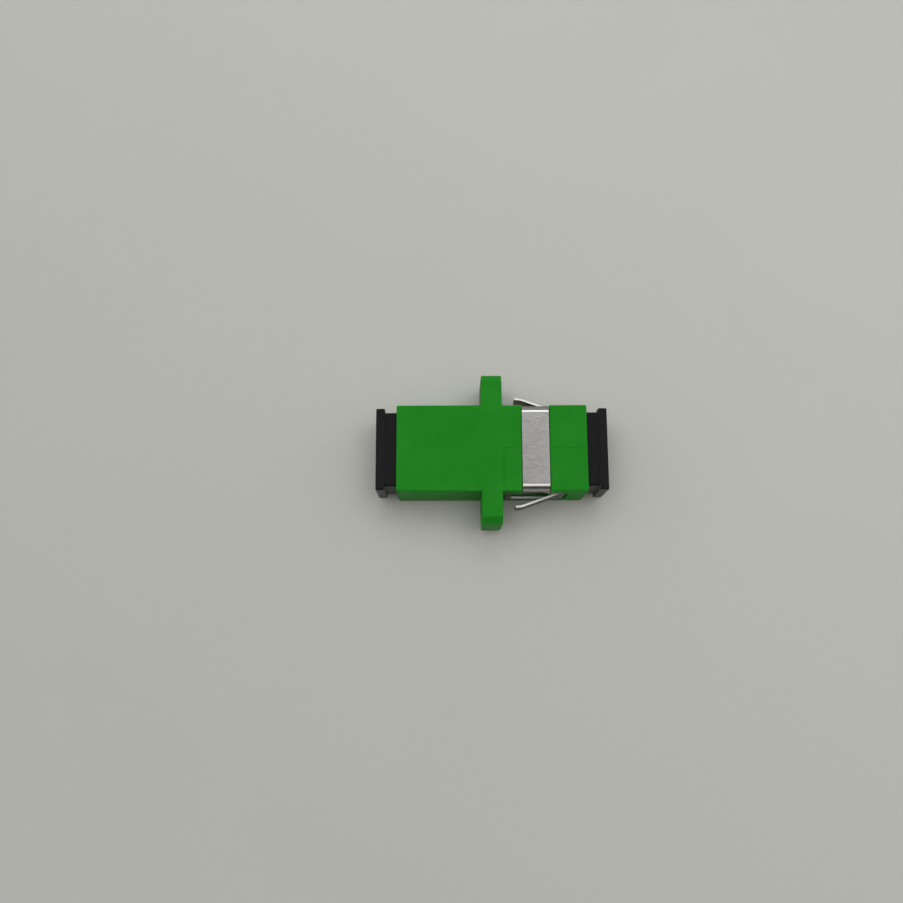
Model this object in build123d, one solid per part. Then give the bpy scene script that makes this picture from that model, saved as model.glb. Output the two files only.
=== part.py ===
from build123d import *
import math
import os

# Simplex SC fibre adapter with a mounting flange, a folded panel clip and two dust caps
# Millimetres. The origin is the optical centre, where the two ferrules meet
# +X runs along the fibre towards the clip end, +Z is up and the adapter lies on its lower broad face

# Housing
body_length = 27.6
body_width = 12.7
body_height = 9.2
body_edge_radius = 0.3
body_end_radius = 0.2

# Mounting flange, moulded in one with the housing
flange_span = 22.0
flange_thickness = 3.0
flange_corner = 1.0
flange_edge_radius = 0.2
flange_hole_diameter = 2.4
flange_hole_inset = 2.0

# Plug sockets
plug_width = 9.0
plug_height = 7.4
plug_clearance = 0.075
socket_corner_radius = 0.4
socket_lead_in = 0.35
mouth_slope = 45.0
mouth_overlap_share = 0.5

# Hook channels in the side walls of each socket
channel_half_width = 5.5
channel_height = 4.8
channel_corner_radius = 0.3

# Keyway through the lower wall at each end
keyway_width = 2.6
keyway_length = 6.0
keyway_corner_radius = 0.5

# Bulkhead across the middle, which the two latch inserts clamp
bulkhead_thickness = 1.5
bulkhead_opening_width = 6.6
bulkhead_opening_height = 5.6
bulkhead_corner_radius = 0.5

# Panel clip, folded from one sheet
sheet = 0.3
clip_seat_gap = 0.03
strip_start = 4.38
strip_width = 3.9
strip_side_gap = 0.14
clip_bend_radius = 1.05
frame_start = 2.04
frame_length = 8.65
frame_height = 5.6
frame_drop = 0.35
frame_corner_radius = 1.0
frame_gap = 0.12
frame_end_gap = 0.4
frame_rail = 0.8
frame_front_rail = 0.7
frame_window_length = 7.15
frame_window_corner_radius = 0.45
tongue_height = 3.0
tongue_rise = 1.88
tongue_slope = 19.7
tongue_tip_slope = -4.0
tongue_root_radius = 2.0
tongue_tip_radius = 3.0
tongue_root_overlap = 0.4

# Windows through the side walls, behind the tongues
side_window_setback = 0.2
side_window_length = 6.5
side_window_height = 3.2
side_window_corner_radius = 0.5

# Witness lines that the mould's slides leave on the upper face
witness_width = 0.08
witness_depth = 0.03
witness_setback = 0.18

# Alignment sleeve for the ferrules
ferrule_bore = 2.49
sleeve_diameter = 3.2
sleeve_length = 11.4
sleeve_slit = 0.4
sleeve_chamfer = 0.15
sleeve_radial_gap = 0.1
sleeve_end_gap = 0.15

# Latch inserts
insert_fit = 0.04
insert_plate_thickness = 1.5
insert_tab_height = 4.2
insert_spigot_gap = 0.05
holder_diameter = 4.6
holder_lip = 0.75
holder_lip_bore = 2.8
holder_chamfer = 0.25
holder_root_chamfer = 0.3
hook_inner = 4.0
hook_thickness = 0.8
hook_height = 3.4
hook_reach = 8.4
hook_barb = 0.7
hook_barb_flat = 0.3
hook_barb_back = 0.35
hook_barb_lead = 0.75
hook_core_slot = 0.7
peg_diameter = 1.0
peg_length = 0.6
peg_gap = 0.05
peg_end_gap = 0.1
peg_across = 2.4
peg_height = 1.6

# Dust caps
cap_grip_width = 12.06
cap_grip_height = 8.0
cap_grip_thickness = 1.25
cap_grip_corner_radius = 0.35
cap_neck_width = 10.94
cap_neck_height = 7.5
cap_neck_length = 1.75
cap_neck_corner_radius = 0.4
cap_plug_length = 6.2
cap_plug_gap = 0.1
cap_plug_corner_radius = 0.4
cap_wall = 0.9
cap_end_wall = 1.2
cap_tip_chamfer = 0.3
cap_edge_chamfer = 0.08
cap_slot_height = 4.4
cap_slot_depth = 1.4
cap_rib_width = 0.7
cap_rib_proud = 0.06
cap_rib_spacing = 5.0

# How far each cutting shape runs past the face that it opens
overrun = 1.0

# Sizes that follow from the ones above
half_length = body_length / 2
half_width = body_width / 2
half_height = body_height / 2
socket_width = plug_width + 2 * plug_clearance
socket_height = plug_height + 2 * plug_clearance
bulkhead_face = bulkhead_thickness / 2
plate_face = bulkhead_face + insert_plate_thickness
flange_hole_pitch = flange_span - 2 * flange_hole_inset
groove_depth = sheet + clip_seat_gap
frame_middle = frame_start + frame_length / 2
frame_window_start = frame_start + frame_front_rail
frame_window_end = frame_window_start + frame_window_length
holder_bore = sleeve_diameter + 2 * sleeve_radial_gap
pocket_end = sleeve_length / 2 + sleeve_end_gap
holder_end = pocket_end + holder_lip


def bar(outline, start, end):
    """A solid that carries an outline of the YZ plane from one station along the fibre to another"""
    return Pos(start, 0, 0) * extrude(Plane.YZ * outline, amount=end - start)


def turned(shape):
    """The same shape at the other end, turned half a turn about the vertical"""
    return Rot(0, 0, 180) * shape


def both_sides(shape):
    """A shape and its mirror image in the upright plane along the fibre"""
    return shape + mirror(shape, about=Plane.XZ)


def rim_edges(solid, station):
    """The outer edges of a bar that lie on one of its end faces"""
    return solid.edges().filter_by_position(Axis.X, station, station)


def body_block():
    """The outside of the housing, with its long edges and both ends rounded"""
    outline = RectangleRounded(body_width, body_height, body_edge_radius)
    block = bar(outline, -half_length, half_length)
    ends = rim_edges(block, half_length) + rim_edges(block, -half_length)
    return fillet(ends, body_end_radius)


def flange():
    """The flange plate with its cut corners and its two screw holes"""
    face = flange_thickness / 2
    square = Rectangle(flange_span, body_height)
    plate = bar(chamfer(square.vertices(), flange_corner), -face, face)
    rims = rim_edges(plate, face) + rim_edges(plate, -face)
    plate = fillet(rims, flange_edge_radius)
    hole = Circle(flange_hole_diameter / 2)
    holes = [Pos(side * flange_hole_pitch / 2, 0) * hole for side in (-1, 1)]
    return plate - [bar(circle, -face - overrun, face + overrun) for circle in holes]


def mouth():
    """The flare at the socket's mouth, which runs past both ends of its slope"""
    past = mouth_overlap_share * socket_lead_in
    inset = past * math.tan(math.radians(mouth_slope))
    width = socket_width - 2 * inset
    height = socket_height - 2 * inset
    outline = RectangleRounded(width, height, socket_corner_radius - inset)
    flare = extrude(Plane.YZ * outline, amount=socket_lead_in + 2 * past, taper=-mouth_slope)
    return Pos(half_length - socket_lead_in - past, 0, 0) * flare


def socket():
    """The cuts of the right plug socket: the plug's own section, the mouth's lead-in and the hook channels"""
    section = RectangleRounded(socket_width, socket_height, socket_corner_radius)
    hollow = bar(section, bulkhead_face, half_length + overrun)
    channel = RectangleRounded(2 * channel_half_width, channel_height, channel_corner_radius)
    return [hollow, mouth(), bar(channel, bulkhead_face, half_length + overrun)]


def keyway():
    """The slot through the lower wall that the plug's key slides in"""
    length = keyway_length + overrun
    middle = half_length - keyway_length + length / 2
    slot = RectangleRounded(length, keyway_width, keyway_corner_radius)
    wall = half_height - socket_height / 2
    return Pos(middle, 0, -half_height - overrun) * extrude(slot, amount=wall + 2 * overrun)


def bulkhead_opening():
    """The hole through the bulkhead where the two latch inserts meet"""
    opening = RectangleRounded(bulkhead_opening_width, bulkhead_opening_height, bulkhead_corner_radius)
    return bar(opening, -bulkhead_face - overrun, bulkhead_face + overrun)


def clip_core(inset, corner_radius):
    """The body's section inside the clip, drawn in by an inset on the top and both sides"""
    width = body_width - 2 * inset
    height = body_height
    return Pos(0, -inset) * RectangleRounded(width, height, corner_radius)


def above(outline, level):
    """The stretch of a section that lies above a level"""
    tall = body_height + overrun
    return outline & (Pos(0, level + tall / 2) * Rectangle(body_width + 2 * overrun, tall))


def strip_groove():
    """The groove over the top and down both sides that the strip lies in"""
    block = Rectangle(body_width + 2 * overrun, body_height + 2 * overrun)
    core = clip_core(groove_depth, clip_bend_radius - groove_depth)
    section = above(block - core, -frame_drop)
    start = strip_start - strip_side_gap
    return bar(section, start, strip_start + strip_width + strip_side_gap)


def side_cut(outline, depth):
    """A cut of a given depth into both side faces, from an outline seen from the side"""
    inner = half_width - depth
    cut = extrude(Plane.XZ * outline, amount=-depth - overrun)
    return both_sides(Pos(0, inner, 0) * cut)


def frame_recess():
    """The shallow recess in each side face that the clip's frame lies in"""
    length = frame_length + frame_gap + frame_end_gap
    middle = frame_start - frame_gap + length / 2
    height = frame_height + 2 * frame_gap
    outline = RectangleRounded(length, height, frame_corner_radius + frame_gap)
    return side_cut(Pos(middle, -frame_drop) * outline, groove_depth)


def side_windows():
    """The window through each side wall, so that the tongue can spring flat"""
    start = frame_window_start + side_window_setback
    middle = start + side_window_length / 2
    outline = RectangleRounded(side_window_length, side_window_height, side_window_corner_radius)
    wall = half_width - socket_width / 2
    return side_cut(Pos(middle, -frame_drop) * outline, wall + overrun)


def witness_lines():
    """The fine lines where two mould slides closed on the upper face"""
    start = flange_thickness / 2 + witness_setback
    length = half_length - start + overrun
    along = Box(length, witness_width, 2 * witness_depth)
    across = Box(witness_width, half_width + overrun, 2 * witness_depth)
    lines = Pos(start + length / 2, 0, half_height) * along
    return lines + Pos(start, -(half_width + overrun) / 2, half_height) * across


def housing():
    """The whole housing in one moulding"""
    solid = body_block() + flange()
    for cut in socket() + [keyway()]:
        solid -= cut
        solid -= turned(cut)
    solid -= bulkhead_opening()
    solid -= strip_groove()
    solid -= frame_recess()
    solid -= side_windows()
    return solid - witness_lines()


def clip_bridge():
    """The strip over the top with its two bends, down to the frames"""
    outer = clip_core(0, clip_bend_radius)
    inner = clip_core(sheet, clip_bend_radius - sheet)
    section = above(outer - inner, frame_height / 2 - frame_drop - frame_rail / 2)
    return bar(section, strip_start, strip_start + strip_width)


def clip_frame():
    """The frame on the far side, with the window that its tongue was cut from"""
    plate = RectangleRounded(frame_length, frame_height, frame_corner_radius)
    window_height = frame_height - 2 * frame_rail
    window = RectangleRounded(frame_window_length, window_height, frame_window_corner_radius)
    window_middle = frame_window_start + frame_window_length / 2
    outline = Pos(frame_middle, -frame_drop) * plate
    outline -= Pos(window_middle, -frame_drop) * window
    return Pos(0, half_width - sheet, 0) * extrude(Plane.XZ * outline, amount=-sheet)


def tongue():
    """The spring tongue on the far side: it leaves the sheet at its root and rises towards the flange"""
    slope = math.radians(tongue_slope)
    tip_slope = math.radians(tongue_tip_slope)
    root_rise = tongue_root_radius * (1 - math.cos(slope))
    tip_rise = tongue_tip_radius * (math.cos(tip_slope) - math.cos(slope))
    ramp_length = (tongue_rise - root_rise - tip_rise) / math.sin(slope)
    mid_sheet = half_width - sheet / 2
    start = Vector(frame_window_end + tongue_root_overlap, mid_sheet)
    root = Line(start, Vector(frame_window_end, mid_sheet))
    bend = JernArc(root @ 1, root % 1, tongue_root_radius, -tongue_slope)
    ramp = Line(bend @ 1, (bend @ 1) + (bend % 1) * ramp_length)
    tip = JernArc(ramp @ 1, ramp % 1, tongue_tip_radius, tongue_slope - tongue_tip_slope)
    path = Wire([root, bend, ramp, tip])
    section = Plane(origin=start, x_dir=(0, 1, 0), z_dir=(-1, 0, 0)) * Rectangle(sheet, tongue_height)
    return Pos(0, 0, -frame_drop) * sweep(section, path=path)


def panel_clip():
    """The folded clip in one piece"""
    return clip_bridge() + both_sides(clip_frame() + tongue())


def alignment_sleeve():
    """The split sleeve that lines up the two ferrules"""
    half = sleeve_length / 2
    ring = Circle(sleeve_diameter / 2) - Circle(ferrule_bore / 2)
    tube = bar(ring, -half, half)
    tube = chamfer(rim_edges(tube, half) + rim_edges(tube, -half), sleeve_chamfer)
    slit = Pos(0, sleeve_diameter / 2) * Rectangle(sleeve_slit, sleeve_diameter)
    return tube - bar(slit, -half - overrun, half + overrun)


def sleeve_holder(plate):
    """The base plate with the round holder that stands on it, for the sleeve"""
    tube = bar(Circle(holder_diameter / 2), bulkhead_face, holder_end)
    solid = plate + chamfer(rim_edges(tube, holder_end), holder_chamfer)
    root = rim_edges(solid, plate_face).filter_by(GeomType.CIRCLE).sort_by(SortBy.RADIUS)[-1]
    return chamfer(root, holder_root_chamfer)


def sleeve_bore():
    """The bore for the sleeve and the narrower hole through the lip"""
    bore = bar(Circle(holder_bore / 2), -overrun, pocket_end)
    lip = bar(Circle(holder_lip_bore / 2), pocket_end, holder_end + overrun)
    wide = holder_lip_bore / 2 + holder_chamfer
    lead_in = Pos(holder_end - holder_chamfer / 2, 0, 0) * Rot(0, 90, 0) * Cone(
        holder_lip_bore / 2, wide, holder_chamfer
    )
    return bore + lip + lead_in


def hook():
    """The hook on the far side: a flat arm with an inward barb that the plug's shoulder catches"""
    inner = hook_inner
    outer = hook_inner + hook_thickness
    tip = inner - hook_barb
    back = hook_reach - hook_barb_lead - hook_barb_flat - hook_barb_back
    outline = Polyline(
        (bulkhead_face, inner),
        (back, inner),
        (back + hook_barb_back, tip),
        (hook_reach - hook_barb_lead, tip),
        (hook_reach, inner),
        (hook_reach, outer),
        (bulkhead_face, outer),
        close=True,
    )
    return extrude(make_face(outline), amount=hook_height / 2, both=True)


def insert_plate():
    """The base plate, with side tabs that run in the hook channels"""
    width = socket_width - 2 * insert_fit
    height = socket_height - 2 * insert_fit
    plate = RectangleRounded(width, height, socket_corner_radius)
    tabs = RectangleRounded(2 * (channel_half_width - insert_fit), insert_tab_height, channel_corner_radius)
    return bar(plate + tabs, bulkhead_face, plate_face)


def spigot():
    """The block that passes into the bulkhead's opening and meets the other insert's at the centre"""
    outline = RectangleRounded(
        bulkhead_opening_width - 2 * insert_spigot_gap,
        bulkhead_opening_height - 2 * insert_spigot_gap,
        bulkhead_corner_radius,
    )
    return bar(outline, 0, bulkhead_face + overrun)


def latch_insert():
    """The right latch insert: plate, spigot, sleeve holder, two hooks, a peg and the other one's peg hole"""
    solid = sleeve_holder(insert_plate()) + spigot() + both_sides(hook())
    slot = Pos(hook_inner - hook_core_slot / 2, 0) * Rectangle(hook_core_slot, hook_height)
    solid -= both_sides(bar(slot, bulkhead_face - overrun, plate_face + overrun))
    solid -= sleeve_bore()
    peg_hole = Pos(-peg_across, peg_height) * Circle(peg_diameter / 2 + peg_gap)
    solid -= bar(peg_hole, -overrun, peg_length + peg_end_gap)
    peg = Pos(peg_across, peg_height) * Circle(peg_diameter / 2)
    return solid + bar(peg, -peg_length, bulkhead_face)


def cap_outside():
    """The right cap's outside: the plug in the socket, the neck on the end face and the grip"""
    neck_end = half_length + cap_neck_length
    grip_end = neck_end + cap_grip_thickness
    tip = half_length - cap_plug_length
    plug_outline = RectangleRounded(plug_width - cap_plug_gap, plug_height - cap_plug_gap, cap_plug_corner_radius)
    plug = bar(plug_outline, tip, half_length + overrun)
    plug = chamfer(rim_edges(plug, tip), cap_tip_chamfer)
    neck_outline = RectangleRounded(cap_neck_width, cap_neck_height, cap_neck_corner_radius)
    neck = bar(neck_outline, half_length, neck_end)
    grip_outline = RectangleRounded(cap_grip_width, cap_grip_height, cap_grip_corner_radius)
    grip = bar(grip_outline, neck_end, grip_end)
    grip = chamfer(rim_edges(grip, neck_end) + rim_edges(grip, grip_end), cap_edge_chamfer)
    return plug + neck + grip


def cap_ribs():
    """Low ribs along the plug's broad faces, which grip the socket"""
    start = half_length - cap_plug_length + 2 * cap_tip_chamfer
    height = plug_height - cap_plug_gap + 2 * cap_rib_proud
    rib = bar(Rectangle(cap_rib_width, height), start, half_length)
    return [Pos(0, side * cap_rib_spacing / 2, 0) * rib for side in (-1, 1)]


def dust_cap():
    """The right dust cap, open towards the adapter, with side slots that clear the hooks"""
    tip = half_length - cap_plug_length
    closed = half_length + cap_neck_length + cap_grip_thickness - cap_end_wall
    width = plug_width - cap_plug_gap - 2 * cap_wall
    height = plug_height - cap_plug_gap - 2 * cap_wall
    hollow = bar(RectangleRounded(width, height, cap_plug_corner_radius), tip - overrun, closed)
    slot = Rectangle(plug_width + 2 * overrun, cap_slot_height)
    slots = bar(slot, tip - overrun, tip + cap_slot_depth)
    return cap_outside() + cap_ribs() - hollow - slots


def save(name, solid):
    export_step(solid, os.path.join("parts", name + ".step"))


os.makedirs("parts", exist_ok=True)
save("housing", housing())
save("panel_clip", panel_clip())
save("alignment_sleeve", alignment_sleeve())
save("latch_insert_right", latch_insert())
save("latch_insert_left", turned(latch_insert()))
save("dust_cap_right", dust_cap())
save("dust_cap_left", turned(dust_cap()))
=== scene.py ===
import math
import bpy
from mathutils import Matrix, Vector


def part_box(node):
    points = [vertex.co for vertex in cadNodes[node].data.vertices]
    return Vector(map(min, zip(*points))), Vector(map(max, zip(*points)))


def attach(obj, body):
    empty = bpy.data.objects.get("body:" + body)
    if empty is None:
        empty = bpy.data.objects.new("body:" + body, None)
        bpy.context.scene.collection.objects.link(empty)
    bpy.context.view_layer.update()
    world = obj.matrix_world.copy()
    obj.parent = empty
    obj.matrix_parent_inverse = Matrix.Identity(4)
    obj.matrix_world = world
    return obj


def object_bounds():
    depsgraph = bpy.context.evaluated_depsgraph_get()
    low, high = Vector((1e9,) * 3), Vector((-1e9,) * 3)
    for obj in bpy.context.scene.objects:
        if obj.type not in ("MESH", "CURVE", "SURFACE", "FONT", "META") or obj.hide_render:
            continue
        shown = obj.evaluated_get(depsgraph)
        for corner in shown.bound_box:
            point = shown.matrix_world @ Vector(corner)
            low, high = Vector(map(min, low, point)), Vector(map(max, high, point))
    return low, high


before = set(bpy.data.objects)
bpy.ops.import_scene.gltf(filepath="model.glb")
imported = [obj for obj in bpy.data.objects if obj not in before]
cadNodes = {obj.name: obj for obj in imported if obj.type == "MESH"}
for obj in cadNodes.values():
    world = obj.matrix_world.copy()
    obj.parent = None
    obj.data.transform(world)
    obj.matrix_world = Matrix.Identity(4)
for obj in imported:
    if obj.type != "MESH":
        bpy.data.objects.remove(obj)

# Looks of a small moulded coupler with a folded steel clip and two black caps
# Everything is in metres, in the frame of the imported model
mm = 0.001
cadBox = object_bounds()


# Camera, nearly overhead and a little to the near side
cameraSettings = {
    "place": (-5.84 * mm, -28.04 * mm, 141.3 * mm),
    "tilt": 0.1985,          # radians away from straight down
    "roll": -0.0034,
    "focalPixels": 968.6,
    "imagePixels": 903,
    "sensorWidth": 36.0,
    "nearest": 1 * mm,
    "farthest": 20.0,
}


def makeCamera(settings):
    data = bpy.data.cameras.new("overheadCamera")
    data.sensor_width = settings["sensorWidth"]
    data.lens = settings["focalPixels"] / settings["imagePixels"] * settings["sensorWidth"]
    data.clip_start = settings["nearest"]
    data.clip_end = settings["farthest"]
    camera = bpy.data.objects.new("overheadCamera", data)
    bpy.context.scene.collection.objects.link(camera)
    turn = Matrix.Rotation(settings["tilt"], 4, "X") @ Matrix.Rotation(settings["roll"], 4, "Z")
    camera.matrix_world = Matrix.Translation(settings["place"]) @ turn
    bpy.context.scene.camera = camera


makeCamera(cameraSettings)
print("camera placed")


# How fine a noise is: layers of detail, and how strong each is beside the one before
waveNoise = {"Detail": 1.0, "Roughness": 0.5}
hairNoise = {"Detail": 1.0, "Roughness": 0.4}
softNoise = {"Detail": 2.0, "Roughness": 0.5}
pitNoise = {"Detail": 2.0, "Roughness": 0.6}
cloudNoise = {"Detail": 3.0, "Roughness": 0.55}
fineNoise = {"Detail": 3.0, "Roughness": 0.6}

edgeSettings = {
    "samples": 4,
    "alike": (0.98, 0.75),   # likeness of flat and softened normal, on an open face and on an edge
}
hairlineFade = 0.6           # a hairline is whole where the noise passes this share of its band


# Node helpers for all the materials
def addNode(tree, kind, values=None, **properties):
    node = tree.nodes.new(kind)
    for name, value in properties.items():
        setattr(node, name, value)
    for name, value in (values or {}).items():
        node.inputs[name].default_value = value
    return node


def newMaterial(name, values):
    material = bpy.data.materials.new(name)
    material.use_nodes = True
    shader = material.node_tree.nodes["Principled BSDF"]
    for socket, value in values.items():
        shader.inputs[socket].default_value = value
    return material, material.node_tree, shader


def objectPlace(tree, scale=(1, 1, 1), turn=(0, 0, 0)):
    # object coordinates, stretched and turned
    place = addNode(tree, "ShaderNodeTexCoord")
    mapping = addNode(tree, "ShaderNodeMapping", {"Rotation": turn, "Scale": scale})
    tree.links.new(place.outputs["Object"], mapping.inputs["Vector"])
    return mapping.outputs["Vector"]


def noise(tree, place, size, fineness):
    # smooth noise whose features are about one size across
    node = addNode(tree, "ShaderNodeTexNoise", {"Scale": 1 / size, **fineness})
    tree.links.new(place, node.inputs["Vector"])
    return node.outputs["Fac"]


def remap(tree, value, fromLow, fromHigh, toLow, toHigh):
    values = {"From Min": fromLow, "From Max": fromHigh, "To Min": toLow, "To Max": toHigh}
    node = addNode(tree, "ShaderNodeMapRange", values)
    tree.links.new(value, node.inputs["Value"])
    return node.outputs["Result"]


def combine(tree, operation, first, second):
    # two numbers, each a socket or a plain value
    node = addNode(tree, "ShaderNodeMath", operation=operation)
    for slot, value in enumerate((first, second)):
        if isinstance(value, bpy.types.NodeSocket):
            tree.links.new(value, node.inputs[slot])
        else:
            node.inputs[slot].default_value = value
    return node.outputs["Value"]


def blendColour(tree, factor, first, second):
    node = addNode(tree, "ShaderNodeMix", data_type="RGBA")
    tree.links.new(factor, node.inputs["Factor"])
    for name, value in (("A", first), ("B", second)):
        socket = [s for s in node.inputs if s.name == name and s.type == "RGBA"][0]
        if isinstance(value, bpy.types.NodeSocket):
            tree.links.new(value, socket)
        else:
            socket.default_value = (*value, 1)
    return [s for s in node.outputs if s.type == "RGBA"][0]


def roundedEdges(tree, radius):
    # the shading normal, turned softly over every crisp edge
    node = addNode(tree, "ShaderNodeBevel", {"Radius": radius}, samples=edgeSettings["samples"])
    return node.outputs["Normal"]


def edgeMask(tree, softNormal):
    # 0 on open faces, rising towards 1 on edges
    flat = addNode(tree, "ShaderNodeNewGeometry").outputs["Normal"]
    dot = addNode(tree, "ShaderNodeVectorMath", operation="DOT_PRODUCT")
    tree.links.new(flat, dot.inputs[0])
    tree.links.new(softNormal, dot.inputs[1])
    return remap(tree, dot.outputs["Value"], *edgeSettings["alike"], 0.0, 1.0)


def bump(tree, height, depth, normal=None):
    node = addNode(tree, "ShaderNodeBump", {"Strength": 1.0, "Distance": depth})
    tree.links.new(height, node.inputs["Height"])
    if normal is not None:
        tree.links.new(normal, node.inputs["Normal"])
    return node.outputs["Normal"]


def scratches(tree, length, width, turn, amount):
    # sparse straight hairlines, 1 on a line and 0 elsewhere
    place = objectPlace(tree, (1 / length, 1 / width, 1 / width), (0, 0, turn))
    lines = noise(tree, place, 1.0, hairNoise)
    return remap(tree, lines, 1 - amount, 1 - hairlineFade * amount, 0.0, 1.0)


# Moulded plastics
housingSettings = {
    "colour": (0.0135, 0.204, 0.0135),
    "paleColour": (0.0180, 0.226, 0.0175),
    # edges painted lighter: partly wear, partly a painted highlight
    "edgeWearHighlightColour": (0.014, 0.230, 0.015),
    "cloudSize": 5 * mm,
    "tintBand": (0.35, 0.65),              # cloud heights of the two colours
    "glossBand": (0.3, 0.7),               # and of the two roughnesses
    "roughness": (0.30, 0.40),
    "grainSize": 0.09 * mm,
    "grainDepth": 0.0012 * mm,
    "waveSize": 2.5 * mm,
    "waveDepth": 0.004 * mm,
    "edgeRadius": 0.07 * mm,
    "scratch": {"length": 4.0 * mm, "width": 0.05 * mm, "turn": 0.5, "amount": 0.31},
    "scratchRoughness": 0.12,
    "ior": 1.07,
    "subsurface": 0.4,
    "lightReach": (0.15, 0.8, 0.15),       # millimetres that each colour travels inside
    "bloom": 0.0,
    "bloomRoughness": 0.5,
}

insertSettings = {
    "colour": (0.004, 0.13, 0.006),
    "paleColour": (0.008, 0.15, 0.009),
    # edges painted lighter: partly wear, partly a painted highlight
    "edgeWearHighlightColour": (0.014, 0.18, 0.015),
    "cloudSize": 3 * mm,
    "tintBand": (0.35, 0.65),
    "glossBand": (0.3, 0.7),
    "roughness": (0.42, 0.52),
    "grainSize": 0.08 * mm,
    "grainDepth": 0.0015 * mm,
    "waveSize": 1.5 * mm,
    "waveDepth": 0.003 * mm,
    "edgeRadius": 0.04 * mm,
    "scratch": {"length": 2.0 * mm, "width": 0.04 * mm, "turn": 1.2, "amount": 0.28},
    "scratchRoughness": 0.08,
    "ior": 1.2,
    "subsurface": 0.4,
    "lightReach": (0.15, 0.8, 0.15),       # millimetres that each colour travels inside
    "bloom": 0.0,
    "bloomRoughness": 0.5,
}

capSettings = {
    "colour": (0.0038, 0.0035, 0.0044),
    "paleColour": (0.0066, 0.0062, 0.0074),
    # edges painted lighter: partly wear, partly a painted highlight
    "edgeWearHighlightColour": (0.022, 0.021, 0.022),
    "cloudSize": 3 * mm,
    "tintBand": (0.35, 0.65),
    "glossBand": (0.3, 0.7),
    "roughness": (0.42, 0.56),
    "grainSize": 0.06 * mm,
    "grainDepth": 0.0030 * mm,
    "waveSize": 1.8 * mm,
    "waveDepth": 0.004 * mm,
    "edgeRadius": 0.08 * mm,
    "scratch": {"length": 3.0 * mm, "width": 0.05 * mm, "turn": 1.4, "amount": 0.30},
    "scratchRoughness": 0.10,
    "ior": 1.17,
    "subsurface": 0.0,
    "lightReach": (0.1, 0.1, 0.1),
    "bloom": 0.14,                         # the pale haze that soft plastic shows at a glancing view
    "bloomRoughness": 0.5,
}


def mouldedPlastic(name, settings):
    values = {"IOR": settings["ior"], "Subsurface Weight": settings["subsurface"]}
    values.update({"Subsurface Radius": settings["lightReach"], "Subsurface Scale": mm})
    values.update({"Sheen Weight": settings["bloom"], "Sheen Roughness": settings["bloomRoughness"]})
    material, tree, shader = newMaterial(name, values)
    place = objectPlace(tree)
    clouds = noise(tree, place, settings["cloudSize"], cloudNoise)
    grain = noise(tree, place, settings["grainSize"], fineNoise)
    waves = noise(tree, place, settings["waveSize"], waveNoise)
    softNormal = roundedEdges(tree, settings["edgeRadius"])
    wearAndHighlight = edgeMask(tree, softNormal)
    lines = scratches(tree, **settings["scratch"])

    tint = remap(tree, clouds, *settings["tintBand"], 0.0, 1.0)
    colour = blendColour(tree, tint, settings["colour"], settings["paleColour"])
    # edges painted a lighter colour: partly wear, partly a painted highlight on the rims
    colour = blendColour(tree, wearAndHighlight, colour, settings["edgeWearHighlightColour"])
    tree.links.new(colour, shader.inputs["Base Color"])

    low, high = settings["roughness"]
    gloss = remap(tree, clouds, *settings["glossBand"], low, high)
    gloss = combine(tree, "ADD", gloss, combine(tree, "MULTIPLY", lines, settings["scratchRoughness"]))
    tree.links.new(gloss, shader.inputs["Roughness"])

    normal = bump(tree, waves, settings["waveDepth"], softNormal)
    normal = bump(tree, grain, settings["grainDepth"], normal)
    tree.links.new(normal, shader.inputs["Normal"])
    return material


def paint(names, material):
    for name in names:
        cadNodes[name].material_slots[0].material = material


capPlastic = mouldedPlastic("blackCapPlastic", capSettings)
paint(["housing"], mouldedPlastic("greenHousingPlastic", housingSettings))
paint(["latch_insert_left", "latch_insert_right"], mouldedPlastic("greenInsertPlastic", insertSettings))
paint(["dust_cap_left", "dust_cap_right"], capPlastic)
print("plastics mixed")


# Folded spring steel clip
clipSettings = {
    "colour": (0.400, 0.393, 0.379),
    "darkColour": (0.364, 0.358, 0.345),
    "glancingColour": (0.45, 0.44, 0.42),  # what is left of a reflection at a glancing view
    "cloudSize": 0.5 * mm,
    "cloudShare": 0.15,                    # the rest of the tint follows the brush lines
    "tintBand": (0.38, 0.62),
    "glossBand": (0.3, 0.7),
    "roughness": (0.165, 0.205),
    "stretch": 0.5,                        # how far reflections are drawn out across the brush lines
    "brushLine": (1.0, 0.06, 0.03),
    "brushLength": 0.8 * mm,
    "brushWidth": 0.13 * mm,
    "brushDepth": 0.0011 * mm,
    "pitSize": 0.12 * mm,
    "pitDepth": 0.0012 * mm,
    "edgeRadius": 0.05 * mm,
    "cutColour": (0.52, 0.51, 0.48),
    "cutRoughness": 0.45,
    "cutFacing": (0.5, 0.7),               # how squarely a cut edge faces along or up
    "bendDepth": (1.05 * mm, 1.15 * mm),   # the bends end between these depths below the strip's face
}


def cutEdges(tree, settings):
    # 1 on the sheared edges of the sheet, which are rougher than its faces
    surface = addNode(tree, "ShaderNodeTexCoord")
    facing = addNode(tree, "ShaderNodeSeparateXYZ")
    place = addNode(tree, "ShaderNodeSeparateXYZ")
    tree.links.new(surface.outputs["Normal"], facing.inputs["Vector"])
    tree.links.new(surface.outputs["Object"], place.inputs["Vector"])
    along = combine(tree, "ABSOLUTE", facing.outputs["X"], 0.0)
    upright = combine(tree, "ABSOLUTE", facing.outputs["Z"], 0.0)
    low, high = settings["cutFacing"]
    along = remap(tree, along, low, high, 0.0, 1.0)
    upright = remap(tree, upright, low, high, 0.0, 1.0)
    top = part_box("panel_clip")[1].z
    near, far = settings["bendDepth"]
    below = remap(tree, place.outputs["Z"], top - near, top - far, 0.0, 1.0)
    return combine(tree, "MAXIMUM", along, combine(tree, "MULTIPLY", upright, below))


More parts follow.
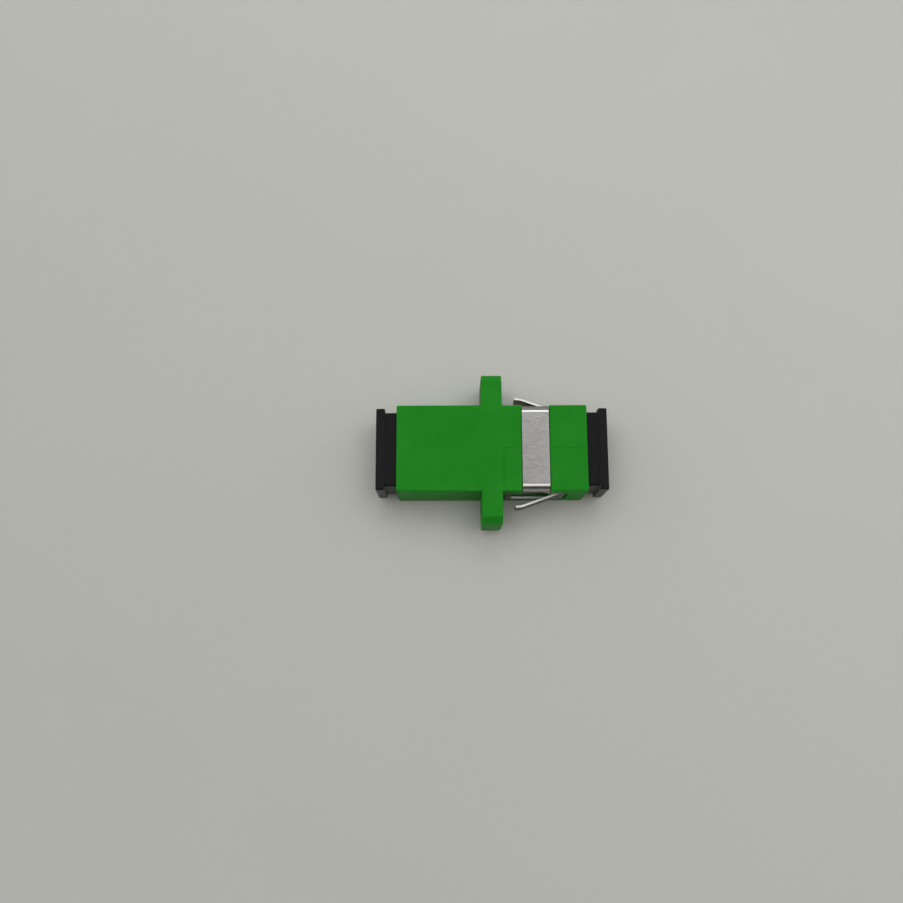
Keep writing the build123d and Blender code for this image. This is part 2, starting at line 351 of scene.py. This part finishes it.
def brushedSteel(name, settings):
    values = {"Metallic": 1.0, "Anisotropic": settings["stretch"]}
    values["Specular Tint"] = (*settings["glancingColour"], 1)
    material, tree, shader = newMaterial(name, values)
    place = objectPlace(tree)
    length, width = settings["brushLength"], settings["brushWidth"]
    brushed = noise(tree, objectPlace(tree, (1 / length, 1 / width, 1 / width)), 1.0, fineNoise)
    clouds = noise(tree, place, settings["cloudSize"], fineNoise)
    pits = noise(tree, place, settings["pitSize"], pitNoise)
    softNormal = roundedEdges(tree, settings["edgeRadius"])

    share = settings["cloudShare"]
    clouds = combine(tree, "MULTIPLY", clouds, share)
    mix = combine(tree, "ADD", clouds, combine(tree, "MULTIPLY", brushed, 1 - share))
    tint = remap(tree, mix, *settings["tintBand"], 0.0, 1.0)
    cut = cutEdges(tree, settings)
    colour = blendColour(tree, tint, settings["darkColour"], settings["colour"])
    tree.links.new(blendColour(tree, cut, colour, settings["cutColour"]), shader.inputs["Base Color"])

    low, high = settings["roughness"]
    gloss = remap(tree, brushed, *settings["glossBand"], low, high)
    gloss = combine(tree, "MAXIMUM", gloss, combine(tree, "MULTIPLY", cut, settings["cutRoughness"]))
    tree.links.new(gloss, shader.inputs["Roughness"])
    normal = bump(tree, pits, settings["pitDepth"], softNormal)
    normal = bump(tree, brushed, settings["brushDepth"], normal)
    tree.links.new(normal, shader.inputs["Normal"])

    across = addNode(tree, "ShaderNodeVectorMath", operation="CROSS_PRODUCT")
    across.inputs[1].default_value = settings["brushLine"]
    tree.links.new(softNormal, across.inputs[0])
    tree.links.new(across.outputs["Vector"], shader.inputs["Tangent"])
    return material


paint(["panel_clip"], brushedSteel("brushedSpringSteel", clipSettings))
print("steel brushed")


# Parting line round each cap's grip, where the two halves of its mould met
partingSettings = {
    "gripThickness": 1.25 * mm,            # of the cap, as is the corner radius
    "cornerRadius": 0.35 * mm,
    "cornerPoints": 8,
    "beadRadius": 0.03 * mm,
    "beadSides": 8,
}


def partingTree(material, settings):
    # a bead that follows a rounded rectangle across the fibre
    tree = bpy.data.node_groups.new("partingLine", "GeometryNodeTree")
    tree.interface.new_socket("Bead", in_out="OUTPUT", socket_type="NodeSocketGeometry")
    for name in ("Station", "Width", "Height", "Corner Radius", "Bead Radius"):
        tree.interface.new_socket(name, in_out="INPUT", socket_type="NodeSocketFloat")
    sizes = tree.nodes.new("NodeGroupInput").outputs
    outline = addNode(tree, "GeometryNodeCurvePrimitiveQuadrilateral")
    tree.links.new(sizes["Width"], outline.inputs["Width"])
    tree.links.new(sizes["Height"], outline.inputs["Height"])
    rounded = addNode(tree, "GeometryNodeFilletCurve", {"Count": settings["cornerPoints"]}, mode="POLY")
    tree.links.new(outline.outputs["Curve"], rounded.inputs["Curve"])
    tree.links.new(sizes["Corner Radius"], rounded.inputs["Radius"])
    station = addNode(tree, "ShaderNodeCombineXYZ")
    tree.links.new(sizes["Station"], station.inputs["X"])
    quarter = math.pi / 2
    placed = addNode(tree, "GeometryNodeTransform", {"Rotation": (quarter, 0, quarter)})
    tree.links.new(rounded.outputs["Curve"], placed.inputs["Geometry"])
    tree.links.new(station.outputs["Vector"], placed.inputs["Translation"])
    section = addNode(tree, "GeometryNodeCurvePrimitiveCircle", {"Resolution": settings["beadSides"]})
    tree.links.new(sizes["Bead Radius"], section.inputs["Radius"])
    bead = addNode(tree, "GeometryNodeCurveToMesh")
    tree.links.new(placed.outputs["Geometry"], bead.inputs["Curve"])
    tree.links.new(section.outputs["Curve"], bead.inputs["Profile Curve"])
    smooth = addNode(tree, "GeometryNodeSetShadeSmooth")
    tree.links.new(bead.outputs["Mesh"], smooth.inputs["Geometry"])
    real = addNode(tree, "GeometryNodeRealizeInstances")
    tree.links.new(smooth.outputs["Geometry"], real.inputs["Geometry"])
    finish = addNode(tree, "GeometryNodeSetMaterial", {"Material": material})
    tree.links.new(real.outputs["Geometry"], finish.inputs["Geometry"])
    result = tree.nodes.new("NodeGroupOutput")
    tree.links.new(finish.outputs["Geometry"], result.inputs["Bead"])
    return tree


def partingLine(name, cap, body, tree, settings):
    low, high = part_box(cap)
    halfGrip = settings["gripThickness"] / 2
    sizes = {
        "Station": low.x + halfGrip if low.x < -high.x else high.x - halfGrip,
        "Width": high.y - low.y,
        "Height": high.z - low.z,
        "Corner Radius": settings["cornerRadius"],
        "Bead Radius": settings["beadRadius"],
    }
    piece = bpy.data.objects.new(name, bpy.data.meshes.new(name))
    bpy.context.scene.collection.objects.link(piece)
    modifier = piece.modifiers.new("partingLine", "NODES")
    modifier.node_group = tree
    for socket in tree.interface.items_tree:
        if socket.name in sizes:
            modifier[socket.identifier] = sizes[socket.name]
    evaluated = piece.evaluated_get(bpy.context.evaluated_depsgraph_get())
    piece.data = bpy.data.meshes.new_from_object(evaluated)
    piece.modifiers.remove(modifier)
    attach(piece, body)


beadTree = partingTree(capPlastic, partingSettings)
for side in ("left", "right"):
    partingLine(side + "_cap_parting_line", "dust_cap_" + side, side + "_cap", beadTree, partingSettings)
print("parting lines raised")


# Ground ceramic sleeve, seen when a cap is off
sleeveSettings = {
    "colour": (0.86, 0.85, 0.80),
    "shadeColour": (0.78, 0.77, 0.72),
    "cloudSize": 1.5 * mm,
    "roughness": (0.12, 0.22),
    "glossBand": (0.3, 0.7),
    "grindLength": 0.03 * mm,
    "grindWidth": 1.5 * mm,
    "grindDepth": 0.0004 * mm,
    "subsurface": 0.15,
    "subsurfaceReach": 0.4 * mm,
}


def groundCeramic(name, settings):
    values = {"Subsurface Weight": settings["subsurface"], "Subsurface Scale": settings["subsurfaceReach"]}
    material, tree, shader = newMaterial(name, values)
    across, around = settings["grindLength"], settings["grindWidth"]
    rings = noise(tree, objectPlace(tree, (1 / across, 1 / around, 1 / around)), 1.0, softNoise)
    clouds = noise(tree, objectPlace(tree), settings["cloudSize"], softNoise)
    colour = blendColour(tree, clouds, settings["shadeColour"], settings["colour"])
    tree.links.new(colour, shader.inputs["Base Color"])
    low, high = settings["roughness"]
    tree.links.new(remap(tree, rings, *settings["glossBand"], low, high), shader.inputs["Roughness"])
    tree.links.new(bump(tree, rings, settings["grindDepth"]), shader.inputs["Normal"])
    return material


paint(["alignment_sleeve"], groundCeramic("whiteGroundCeramic", sleeveSettings))
print("ceramic ground")


# Plain pale floor, with a painted light falloff towards one side
floorSettings = {
    "halfSize": 3.0,                       # metres
    # the two ends of a painted light falloff across the floor
    "colour": (0.427, 0.430, 0.403),
    "paleColour": (0.507, 0.511, 0.481),
    "paintedLightSide": (0.6, 0.8, 0.0),           # painted light: the floor is painted paler this way, as if more strongly lit from this side
    "paintedLightReach": 60 * mm,
    "cloudSize": 30 * mm,
    "cloudShare": 0.2,                     # the rest follows the painted light falloff
    "grainSize": 0.25 * mm,
    "grainDepth": 0.01 * mm,
    "roughness": 0.8,
}


def makeFloor(settings):
    half = settings["halfSize"]
    level = cadBox[0].z
    mesh = bpy.data.meshes.new("paleFloor")
    corners = [(-half, -half, level), (half, -half, level), (half, half, level), (-half, half, level)]
    mesh.from_pydata(corners, [], [(0, 1, 2, 3)])
    floor = bpy.data.objects.new("paleFloor", mesh)
    bpy.context.scene.collection.objects.link(floor)
    material, tree, shader = newMaterial("paleFloorPaper", {"Roughness": settings["roughness"]})
    place = objectPlace(tree)
    clouds = noise(tree, place, settings["cloudSize"], softNoise)
    paintedFalloff = addNode(tree, "ShaderNodeVectorMath", operation="DOT_PRODUCT")
    paintedFalloff.inputs[1].default_value = settings["paintedLightSide"]
    tree.links.new(place, paintedFalloff.inputs[0])
    reach, share = settings["paintedLightReach"], settings["cloudShare"]
    # painted light: a falloff painted across the floor, plus some random tone from the clouds
    paintedLightAndTone = remap(tree, paintedFalloff.outputs["Value"], -reach, reach, 0.0, 1 - share)
    paintedLightAndTone = combine(tree, "ADD", paintedLightAndTone, combine(tree, "MULTIPLY", clouds, share))
    colour = blendColour(tree, paintedLightAndTone, settings["colour"], settings["paleColour"])
    tree.links.new(colour, shader.inputs["Base Color"])
    grain = noise(tree, place, settings["grainSize"], fineNoise)
    tree.links.new(bump(tree, grain, settings["grainDepth"]), shader.inputs["Normal"])
    mesh.materials.append(material)


makeFloor(floorSettings)
print("floor laid")


# Soft studio light: a tent that glows overhead and a little behind, and one lamp behind
skySettings = {
    # light by the height it comes from, 0 level and 1 straight up
    "upBands": [
        (0.000, (0.455, 0.457, 0.430)),
        (0.120, (0.455, 0.457, 0.430)),
        (0.250, (0.78, 0.78, 0.77)),
        (0.407, (0.64, 0.64, 0.63)),
        (0.574, (0.48, 0.48, 0.48)),
        (0.707, (0.56, 0.56, 0.56)),
        (0.819, (0.91, 0.91, 0.91)),
        (0.883, (1.74, 1.74, 1.74)),
        (0.940, (2.78, 2.78, 2.78)),
        (1.000, (2.85, 2.85, 2.85)),
    ],
    # its share from the near side, -, to the far side, +
    "acrossBands": [
        (-0.6, (0.16, 0.138, 0.122)),
        (-0.3, (0.55, 0.53, 0.51)),
        (0.0, (1.0, 1.0, 1.0)),
        (0.3, (2.0, 2.0, 2.0)),
        (0.6, (0.74, 0.74, 0.74)),
    ],
    "levelReach": (0.17, 0.35),            # under this height it is alike all round
    "dimSpot": (0.0, 0.245, 0.9695),       # towards the middle of the dim patch overhead
    "dimReach": (0.960, 0.984),            # likeness to that direction at its rim and where it is dimmest
    "dimShare": 0.10,                      # the light that is left there
}

lampSettings = {
    "place": (0.009, 0.25, 0.433),
    "size": 0.19,
    "power": 0.235,
    "colour": (1.0, 1.0, 0.99),
}


def lightRamp(tree, value, stops):
    # light by place along one axis, as shares of its brightest stop, and that stop
    low, high = stops[0][0], stops[-1][0]
    ramp = addNode(tree, "ShaderNodeValToRGB")
    tree.links.new(remap(tree, value, low, high, 0.0, 1.0), ramp.inputs["Fac"])
    peak = max(max(colour) for place, colour in stops)
    marks = ramp.color_ramp.elements
    while len(marks) < len(stops):
        marks.new(1.0)
    for mark, (place, colour) in zip(marks, stops):
        mark.position = (place - low) / (high - low)
        mark.color = (*[channel / peak for channel in colour], 1)
    return ramp.outputs["Color"], peak


def makeSky(settings):
    world = bpy.data.worlds.new("studioTent")
    world.use_nodes = True
    tree = world.node_tree
    direction = addNode(tree, "ShaderNodeTexCoord")
    axes = addNode(tree, "ShaderNodeSeparateXYZ")
    tree.links.new(direction.outputs["Generated"], axes.inputs["Vector"])
    upLight, upPeak = lightRamp(tree, axes.outputs["Z"], settings["upBands"])
    acrossLight, acrossPeak = lightRamp(tree, axes.outputs["Y"], settings["acrossBands"])
    level = remap(tree, axes.outputs["Z"], *settings["levelReach"], 1.0, 0.0)
    plain = 1 / acrossPeak
    acrossLight = blendColour(tree, level, acrossLight, (plain, plain, plain))
    light = addNode(tree, "ShaderNodeVectorMath", operation="MULTIPLY")
    tree.links.new(upLight, light.inputs[0])
    tree.links.new(acrossLight, light.inputs[1])
    spot = addNode(tree, "ShaderNodeVectorMath", operation="DOT_PRODUCT")
    spot.inputs[1].default_value = settings["dimSpot"]
    tree.links.new(direction.outputs["Generated"], spot.inputs[0])
    dim = remap(tree, spot.outputs["Value"], *settings["dimReach"], 1.0, settings["dimShare"])
    background = tree.nodes["Background"]
    tree.links.new(combine(tree, "MULTIPLY", dim, upPeak * acrossPeak), background.inputs["Strength"])
    tree.links.new(light.outputs["Vector"], background.inputs["Color"])
    bpy.context.scene.world = world


def makeLamp(settings):
    data = bpy.data.lights.new("broadLamp", "AREA")
    data.size = settings["size"]
    data.energy = settings["power"]
    data.color = settings["colour"]
    lamp = bpy.data.objects.new("broadLamp", data)
    bpy.context.scene.collection.objects.link(lamp)
    place = Vector(settings["place"])
    aimed = place.to_track_quat("Z", "Y").to_matrix().to_4x4()       # faces the middle of the object
    lamp.matrix_world = Matrix.Translation(place) @ aimed


makeSky(skySettings)
makeLamp(lampSettings)
bpy.context.scene.view_settings.view_transform = "Standard"
print("studio lit")
